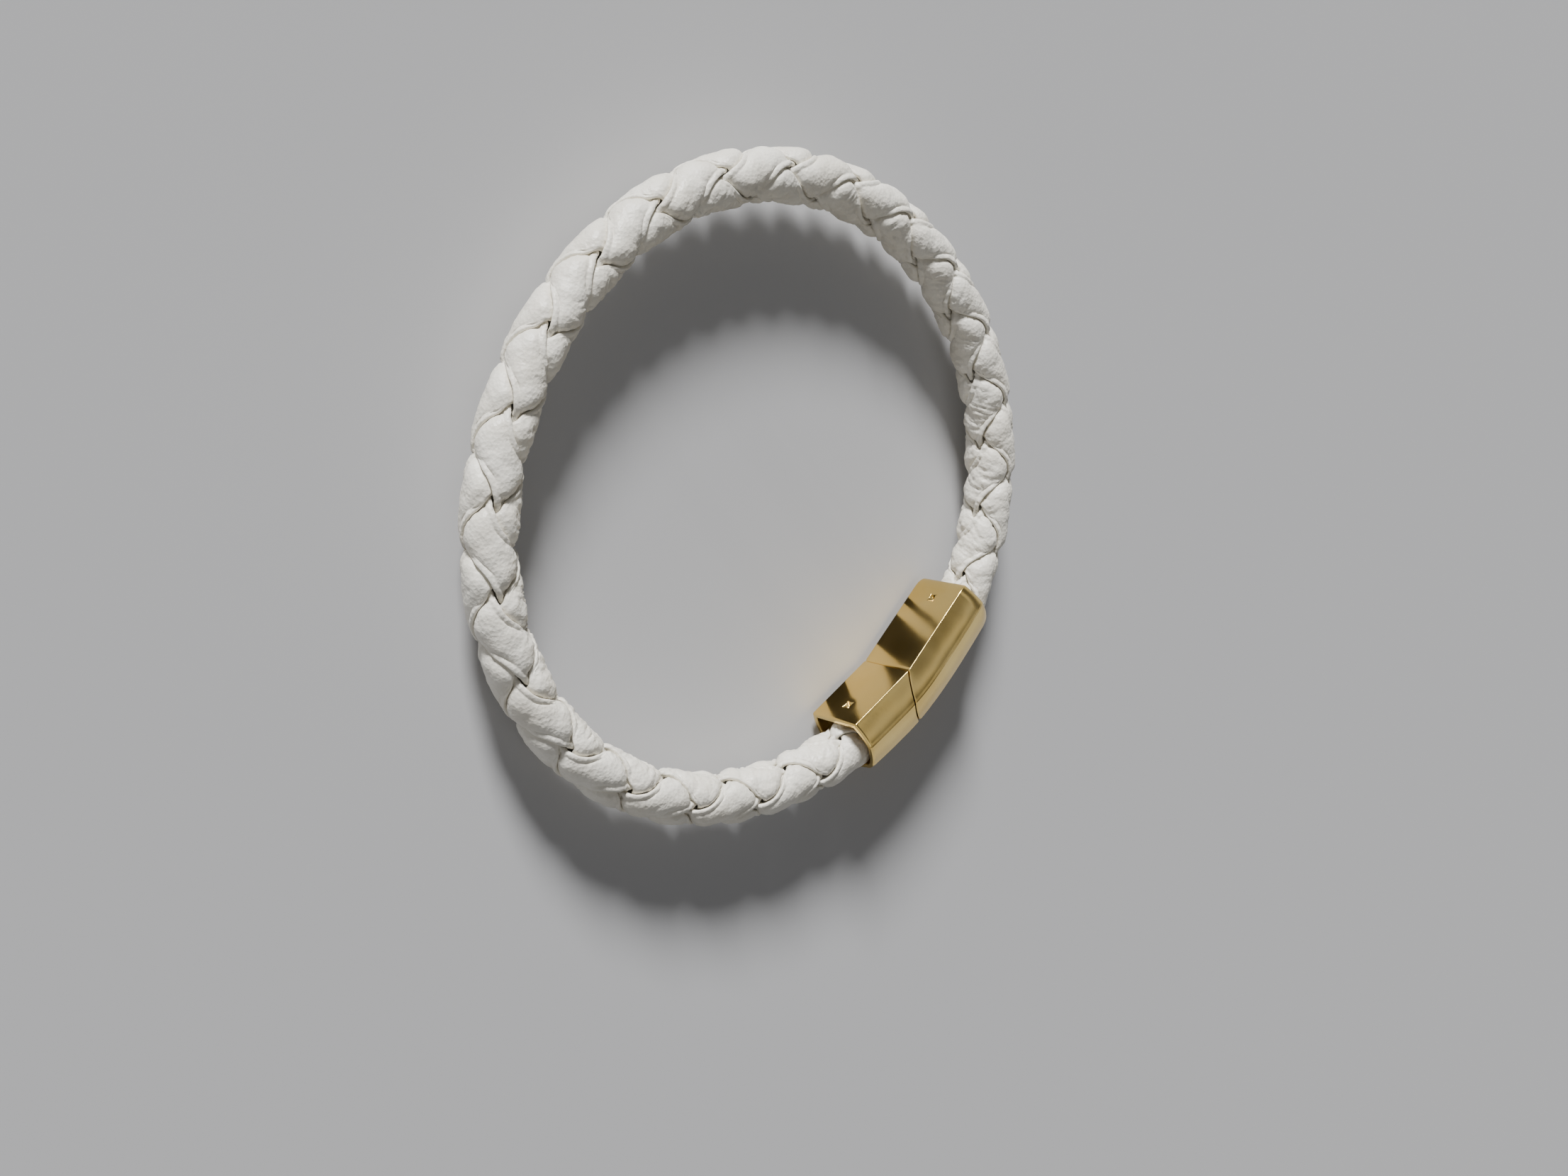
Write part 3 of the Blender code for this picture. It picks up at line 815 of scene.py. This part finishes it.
def level_ring(x, outline):
    """A ring square to the tongue, which slides along X."""
    return np.stack([np.full(len(outline), x), -SEAM_INNER_RADIUS - outline[:, 0], outline[:, 1]], axis=1)


def rim_rings(side):
    """From the bottom of the cord pocket to its mouth, then round the rim on to the outer skin."""
    end = side * half_length(side)
    depth = SOCKET_POCKET_DEPTH if side > 0 else TONGUE_POCKET_DEPTH
    depths = (depth, depth * POCKET_MIDDLE_SHARE, MOUTH_RING_DEPTH, MOUTH_BEVEL_DEPTH)
    rings = [skin_ring(end - side * inward, side, POCKET_SCALE) for inward in depths]
    rings.append(skin_ring(end, side, POCKET_SCALE + MOUTH_BEVEL_SCALE))
    lip_length, lip_inset = SOCKET_LIP if side > 0 else TONGUE_LIP
    for turn in np.linspace(math.pi / 2, 0.0, RIM_RINGS):
        station = end - side * lip_length * (1.0 - math.sin(turn))
        scale = 1.0 - lip_inset * (1.0 - math.cos(turn))
        rings.append(skin_ring(station, side, min(RIM_LARGEST_SCALE, scale)))
    return rings


def outside_rings(side):
    """The outer skin from the rim to the seam, with extra rings at the mark."""
    length = half_length(side)
    lip_length, _ = SOCKET_LIP if side > 0 else TONGUE_LIP
    mark = length - MARK_FROM_END
    even = np.linspace(SEAM_GAP / 2 + SEAM_CHAMFER, length - lip_length - RIM_TO_SKIN, SKIN_RINGS)
    extra = np.linspace(mark - MARK_RINGS_REACH, mark + MARK_RINGS_REACH, MARK_RINGS)
    stations = np.sort(np.concatenate([even, extra]))[::-1]
    return [skin_ring(side * station, side) for station in stations]


def seam_rings(side, outline, middle):
    """The seam's chamfer, then its curved face in to the hollow's mouth or the tongue's root."""
    edge = scaled(outline, 1.0 - SEAM_CHAMFER / HULL_MID_HEIGHT, CLASP_THICKNESS)
    rings = []
    for share in np.linspace(0.0, 1.0, SEAM_FACE_RINGS):
        ring = edge + (middle - edge) * share
        rings.append(clasp_points(seam_along(ring[:, 0]) + side * SEAM_GAP / 2, ring[:, 0], ring[:, 1]))
    return rings


def hollow_rings(outline, mouth):
    """The socket's hollow for the tongue, with a round well for the magnet."""
    well = polar_outline(outline, WELL_RADIUS, WELL_RADIUS)
    places = ((HOLLOW_END, mouth), (HOLLOW_END, well), (HOLLOW_END + WELL_DEPTH, well))
    return [level_ring(x, ring) for x, ring in places]


def tongue_rings(outline, root):
    """The tongue, with its bevelled tip and a round well for the magnet."""
    well = polar_outline(outline, WELL_RADIUS, WELL_RADIUS)
    tip = scaled(root, TONGUE_TIP_SCALE, CLASP_THICKNESS)
    places = (
        (TONGUE_TIP - TONGUE_TIP_BEVEL, root),
        (TONGUE_TIP, tip),
        (TONGUE_TIP, well),
        (TONGUE_TIP - WELL_DEPTH, well),
    )
    return [level_ring(x, ring) for x, ring in places]


def clasp_half(side):
    """One closed loft: cord pocket, rim, outer skin, seam face, then the hollow or the tongue."""
    outline = clasp_outline(CLASP_THICKNESS)
    clearance = TONGUE_CLEARANCE if side > 0 else 0.0
    sizes = [size / 2 + clearance for size in TONGUE_SIZE]
    section = polar_outline(outline, *sizes, TONGUE_POWER)
    inside = hollow_rings if side > 0 else tongue_rings
    rings = rim_rings(side) + outside_rings(side) + seam_rings(side, outline, section)
    return np.stack(rings + inside(outline, section))


def circle_ring(x, radius):
    turn = np.linspace(0.0, 2 * np.pi, MAGNET_POINTS, endpoint=False)
    outline = np.stack([HULL_MID_HEIGHT + radius * np.cos(turn), radius * np.sin(turn)], axis=1)
    return level_ring(x, outline)


def magnet_rings(start):
    """A round magnet. Its rim rounds over from the end face to the side in (place, inset) steps."""
    rim = [(0.0, -2 * MAGNET_BEVEL), (0.3 * MAGNET_BEVEL, -0.8 * MAGNET_BEVEL), (MAGNET_BEVEL, 0.0)]
    profile = rim + [(MAGNET_LENGTH - place, inset) for place, inset in reversed(rim)]
    return np.stack([circle_ring(start + place, MAGNET_RADIUS + inset) for place, inset in profile])


def binding_rings(start):
    """Thread wound round the cord's end: the loft's section is the winding's scalloped profile."""
    outer = np.linspace(0.0, 1.0, THREAD_POINTS)
    inner = [0.97, 0.03]
    height = THREAD_RISE * np.abs(np.sin(np.pi * BINDING_THREADS * outer)) ** THREAD_POWER
    wall = np.full(len(inner), BINDING_RADIUS - BINDING_WALL)
    reach = np.concatenate([BINDING_RADIUS + height, wall])
    place = start + BINDING_LENGTH * np.concatenate([outer, inner])
    turns = np.linspace(0.0, 2 * np.pi, BINDING_POINTS, endpoint=False)
    centre, _, outward = path_frames(np.broadcast_to(place, (len(turns), len(place))))
    plan = centre + outward * (reach[None] * np.cos(turns)[:, None])[..., None]
    return np.concatenate([plan, (reach[None] * np.sin(turns)[:, None])[..., None]], axis=-1)


def build_clasp(metal, magnet_metal, thread):
    places = (
        ("socket", 1, HOLLOW_END, CORD_START + BINDING_FROM_END),
        ("tongue", -1, TONGUE_TIP - MAGNET_LENGTH, CORD_END - BINDING_FROM_END - BINDING_LENGTH),
    )
    for name, side, magnet_start, binding_start in places:
        half = mesh_from_rings(f"clasp_{name}", clasp_half(side))
        half.set_sharp_from_angle(angle=SHARP_ANGLE)
        magnet = mesh_from_rings(f"magnet_{name}", magnet_rings(magnet_start))
        magnet.set_sharp_from_angle(angle=SHARP_ANGLE)
        binding = mesh_from_rings(f"binding_{name}", binding_rings(binding_start), loop=True)
        pieces = (
            (half, metal, f"clasp_{name}_half", "gilt_metal"),
            (magnet, magnet_metal, f"{name}_magnet", "magnet_nickel"),
            (binding, thread, f"{name}_end_binding", "binding_thread"),
        )
        for mesh, material, node, slot in pieces:
            piece = add_piece(mesh.name, mesh, material)
            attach(piece, f"{name}_end")
            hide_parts(node)


# ---- Materials -----------------------------------------------------------------------------------

LEATHER_SHADE = (0.79, 0.75, 0.655, 1.0)
LEATHER_LIGHT = (0.86, 0.83, 0.745, 1.0)
GILT_SHADE = (0.75, 0.53, 0.165, 1.0)
GILT_LIGHT = (0.84, 0.63, 0.245, 1.0)
THREAD_SHADE = (0.55, 0.52, 0.46, 1.0)
THREAD_LIGHT = (0.78, 0.75, 0.69, 1.0)


class Nodes:
    """A short way to write a material's node tree."""

    def __init__(self, name):
        self.material = bpy.data.materials.new(name)
        self.material.use_nodes = True
        self.tree = self.material.node_tree
        self.shader = self.tree.nodes["Principled BSDF"]

    def set(self, node, key, value):
        socket = node.inputs[key]
        if isinstance(value, bpy.types.NodeSocket):
            self.tree.links.new(value, socket)
        else:
            socket.default_value = value

    def add(self, kind, **inputs):
        node = self.tree.nodes.new(kind)
        for key, value in inputs.items():
            self.set(node, key, value)
        return node

    def place(self):
        """The place in the object, in metres, so that every scale below is per metre."""
        return self.add("ShaderNodeTexCoord").outputs["Object"]

    def noise(self, place, scale, detail):
        return self.add("ShaderNodeTexNoise", Vector=place, Scale=scale, Detail=detail).outputs["Fac"]

    def ramp(self, factor, *stops):
        """Blends two colours or grey levels, given as (factor, value)."""
        node = self.add("ShaderNodeValToRGB", Fac=factor)
        for element, (place, value) in zip(node.color_ramp.elements, stops):
            element.position = place
            element.color = value if isinstance(value, tuple) else (value, value, value, 1.0)
        return node.outputs["Color"]

    def bump(self, *layers):
        """Bumps one on top of the other, given as (height, strength, depth in metres)."""
        beneath = {}
        for height, strength, depth in layers:
            node = self.add("ShaderNodeBump", Strength=strength, Distance=depth, Height=height, **beneath)
            beneath = {"Normal": node.outputs["Normal"]}
        self.set(self.shader, "Normal", node.outputs["Normal"])

    def surface(self, colour, roughness, metallic=0.0):
        self.set(self.shader, "Base Color", colour)
        self.set(self.shader, "Roughness", roughness)
        self.set(self.shader, "Metallic", metallic)


def leather_material():
    """White leather: uneven tone and gloss over a fine pebbled grain with pores."""
    nodes = Nodes("white_leather")
    place = nodes.place()
    tone = nodes.noise(place, scale=260.0, detail=3.0)
    grain = nodes.add("ShaderNodeTexVoronoi", Vector=place, Scale=2600.0).outputs["Distance"]
    pores = nodes.noise(place, scale=6500.0, detail=2.0)
    colour = nodes.ramp(tone, (0.35, LEATHER_SHADE), (0.65, LEATHER_LIGHT))
    nodes.surface(colour, roughness=nodes.ramp(tone, (0.3, 0.36), (0.7, 0.50)))
    nodes.set(nodes.shader, "Specular IOR Level", 0.45)
    nodes.bump((grain, 0.5, 0.00010), (pores, 0.4, 0.00006))
    return nodes.material


def gilt_material():
    """Polished gilt metal, with faint waviness and fine handling marks."""
    nodes = Nodes("gilt_metal")
    place = nodes.place()
    tone = nodes.noise(place, scale=180.0, detail=4.0)
    wave = nodes.noise(place, scale=240.0, detail=1.0)
    fine = nodes.noise(place, scale=2600.0, detail=3.0)
    colour = nodes.ramp(tone, (0.3, GILT_SHADE), (0.7, GILT_LIGHT))
    nodes.surface(colour, roughness=nodes.ramp(tone, (0.3, 0.13), (0.7, 0.24)), metallic=1.0)
    nodes.bump((wave, 0.25, 0.0002), (fine, 0.06, 0.00003))
    return nodes.material


def magnet_material():
    """Nickel plating, slightly uneven."""
    nodes = Nodes("magnet_nickel")
    tone = nodes.noise(nodes.place(), scale=1500.0, detail=4.0)
    colour = nodes.ramp(tone, (0.3, 0.50), (0.7, 0.62))
    nodes.surface(colour, roughness=nodes.ramp(tone, (0.3, 0.18), (0.7, 0.34)), metallic=1.0)
    nodes.bump((tone, 0.1, 0.00003))
    return nodes.material


def thread_material():
    """Undyed thread with fine fibres."""
    nodes = Nodes("binding_thread")
    fibre = nodes.noise(nodes.place(), scale=5200.0, detail=3.0)
    nodes.surface(nodes.ramp(fibre, (0.3, THREAD_SHADE), (0.7, THREAD_LIGHT)), roughness=0.85)
    nodes.bump((fibre, 0.6, 0.00005))
    return nodes.material


build_strips(leather_material())
build_clasp(gilt_material(), magnet_material(), thread_material())

# ---- Stage ---------------------------------------------------------------------------------------

FLOOR_HALF_SIZE = 3.0  # metres
FLOOR_GREY = (0.50, 0.50, 0.51, 1.0)

# Dark cards just above the floor, which only reflections see: (start, width) along the clasp
CARD_BANDS = ((-6.6, 3.4), (2.6, 4.4), (8.6, 0.9))
CARD_REACH = (-27.0, 10.0)
CARD_LIFT = 0.02
CARD_BLACK = (0.006, 0.005, 0.004, 1.0)


def build_floor():
    shape = bmesh.new()
    bmesh.ops.create_grid(shape, x_segments=1, y_segments=1, size=FLOOR_HALF_SIZE)
    mesh = bpy.data.meshes.new("floor")
    shape.to_mesh(mesh)
    shape.free()
    nodes = Nodes("floor")
    nodes.surface(FLOOR_GREY, roughness=0.9)
    floor = add_piece("floor", mesh, nodes.material)
    floor.location.z = cad_box[0].z


def build_cards():
    nodes = Nodes("card")
    nodes.surface(CARD_BLACK, roughness=1.0)
    level = cad_box[0].z / MM + CARD_LIFT
    near, far = CARD_REACH
    for number, (start, width) in enumerate(CARD_BANDS):
        corners = [(start, near), (start + width, near), (start + width, far), (start, far)]
        mesh = bpy.data.meshes.new(f"card_{number + 1}")
        mesh.from_pydata([(x * MM, y * MM, level * MM) for x, y in corners], [], [(0, 1, 2, 3)])
        card = add_piece(mesh.name, mesh, nodes.material)
        card.visible_camera = False
        card.visible_diffuse = False
        card.visible_shadow = False


def add_sun(name, direction, spread, strength):
    """A far light, so that the floor is evenly lit from every viewing angle."""
    light = bpy.data.lights.new(name, "SUN")
    light.angle = math.radians(spread)
    light.energy = strength
    lamp = bpy.data.objects.new(name, light)
    lamp.rotation_euler = Vector(direction).to_track_quat("Z", "Y").to_euler()
    SCENE.collection.objects.link(lamp)


AMBIENT = 0.09
BACKDROP = 0.42
ROOM_BRIGHTNESS = 0.72

# What polished metal sees of the room, from straight down (0) to straight up (1): (height, brightness)
ROOM_BANDS = (
    (0.0, 0.3), (0.42, 0.5), (0.55, 0.95), (0.72, 0.8), (0.85, 0.15),
    (0.915, 0.25), (0.94, 1.0), (0.958, 0.35), (1.0, 0.15),
)


def build_world():
    """An even grey room, dimmer as light than behind the object. Reflections see it as bands."""
    world = bpy.data.worlds.new("studio")
    SCENE.world = world
    world.use_nodes = True
    tree = world.node_tree
    background = tree.nodes["Background"]
    background.inputs["Color"].default_value = (1.0, 1.0, 1.0, 1.0)
    rays = tree.nodes.new("ShaderNodeLightPath")
    place = tree.nodes.new("ShaderNodeTexCoord")
    split = tree.nodes.new("ShaderNodeSeparateXYZ")
    tree.links.new(place.outputs["Generated"], split.inputs["Vector"])
    bands = tree.nodes.new("ShaderNodeFloatCurve")
    curve = bands.mapping.curves[0]
    curve.points[0].location, curve.points[1].location = ROOM_BANDS[0], ROOM_BANDS[-1]
    for height, strength in ROOM_BANDS[1:-1]:
        curve.points.new(height, strength)
    bands.mapping.update()
    tilt = tree.nodes.new("ShaderNodeMapRange")
    tilt.inputs["From Min"].default_value = -1.0
    tree.links.new(split.outputs["Z"], tilt.inputs["Value"])
    tree.links.new(tilt.outputs["Result"], bands.inputs["Value"])
    scale = tree.nodes.new("ShaderNodeMath")
    scale.operation = "MULTIPLY"
    scale.inputs[1].default_value = ROOM_BRIGHTNESS
    tree.links.new(bands.outputs["Value"], scale.inputs[0])
    choice = tree.nodes.new("ShaderNodeMix")
    seen = tree.nodes.new("ShaderNodeMath")
    seen.operation = "MULTIPLY_ADD"
    seen.inputs[1].default_value = BACKDROP
    seen.inputs[2].default_value = AMBIENT
    tree.links.new(rays.outputs["Is Camera Ray"], seen.inputs[0])
    tree.links.new(seen.outputs["Value"], choice.inputs["A"])
    tree.links.new(rays.outputs["Is Glossy Ray"], choice.inputs["Factor"])
    tree.links.new(scale.outputs["Value"], choice.inputs["B"])
    tree.links.new(choice.outputs["Result"], background.inputs["Strength"])


# The camera looks down across the ring at the clasp's inner faces, from the photograph's angle.
CAMERA_AZIMUTH = math.radians(216.02)
CAMERA_ELEVATION = math.radians(50.96)
CAMERA_DISTANCE = 182.04
CAMERA_ROLL = math.radians(101.2)
CAMERA_AIM = Vector((-4.85, -9.54, 0.0))
CAMERA_LENS = 39.06
SENSOR_WIDTH = 36.0
NEAREST_SEEN = 0.01  # metres


def add_camera():
    data = bpy.data.cameras.new("camera")
    data.sensor_width = SENSOR_WIDTH
    data.lens = CAMERA_LENS
    data.clip_start = NEAREST_SEEN
    camera = bpy.data.objects.new("camera", data)
    level = math.cos(CAMERA_ELEVATION)
    x, y = math.sin(CAMERA_AZIMUTH) * level, -math.cos(CAMERA_AZIMUTH) * level
    back = Vector((x, y, math.sin(CAMERA_ELEVATION)))
    camera.location = (CAMERA_AIM + back * CAMERA_DISTANCE) * MM
    turn = (-back).to_track_quat("-Z", "Y").to_matrix() @ Matrix.Rotation(CAMERA_ROLL, 3, "Z")
    camera.rotation_euler = turn.to_euler()
    SCENE.collection.objects.link(camera)
    SCENE.camera = camera


build_floor()
build_cards()
add_sun("key", direction=(0.38, 0.85, 0.38), spread=13.0, strength=7.0)
add_sun("fill", direction=(-0.7, -0.2, 1.2), spread=60.0, strength=0.35)
build_world()
add_camera()
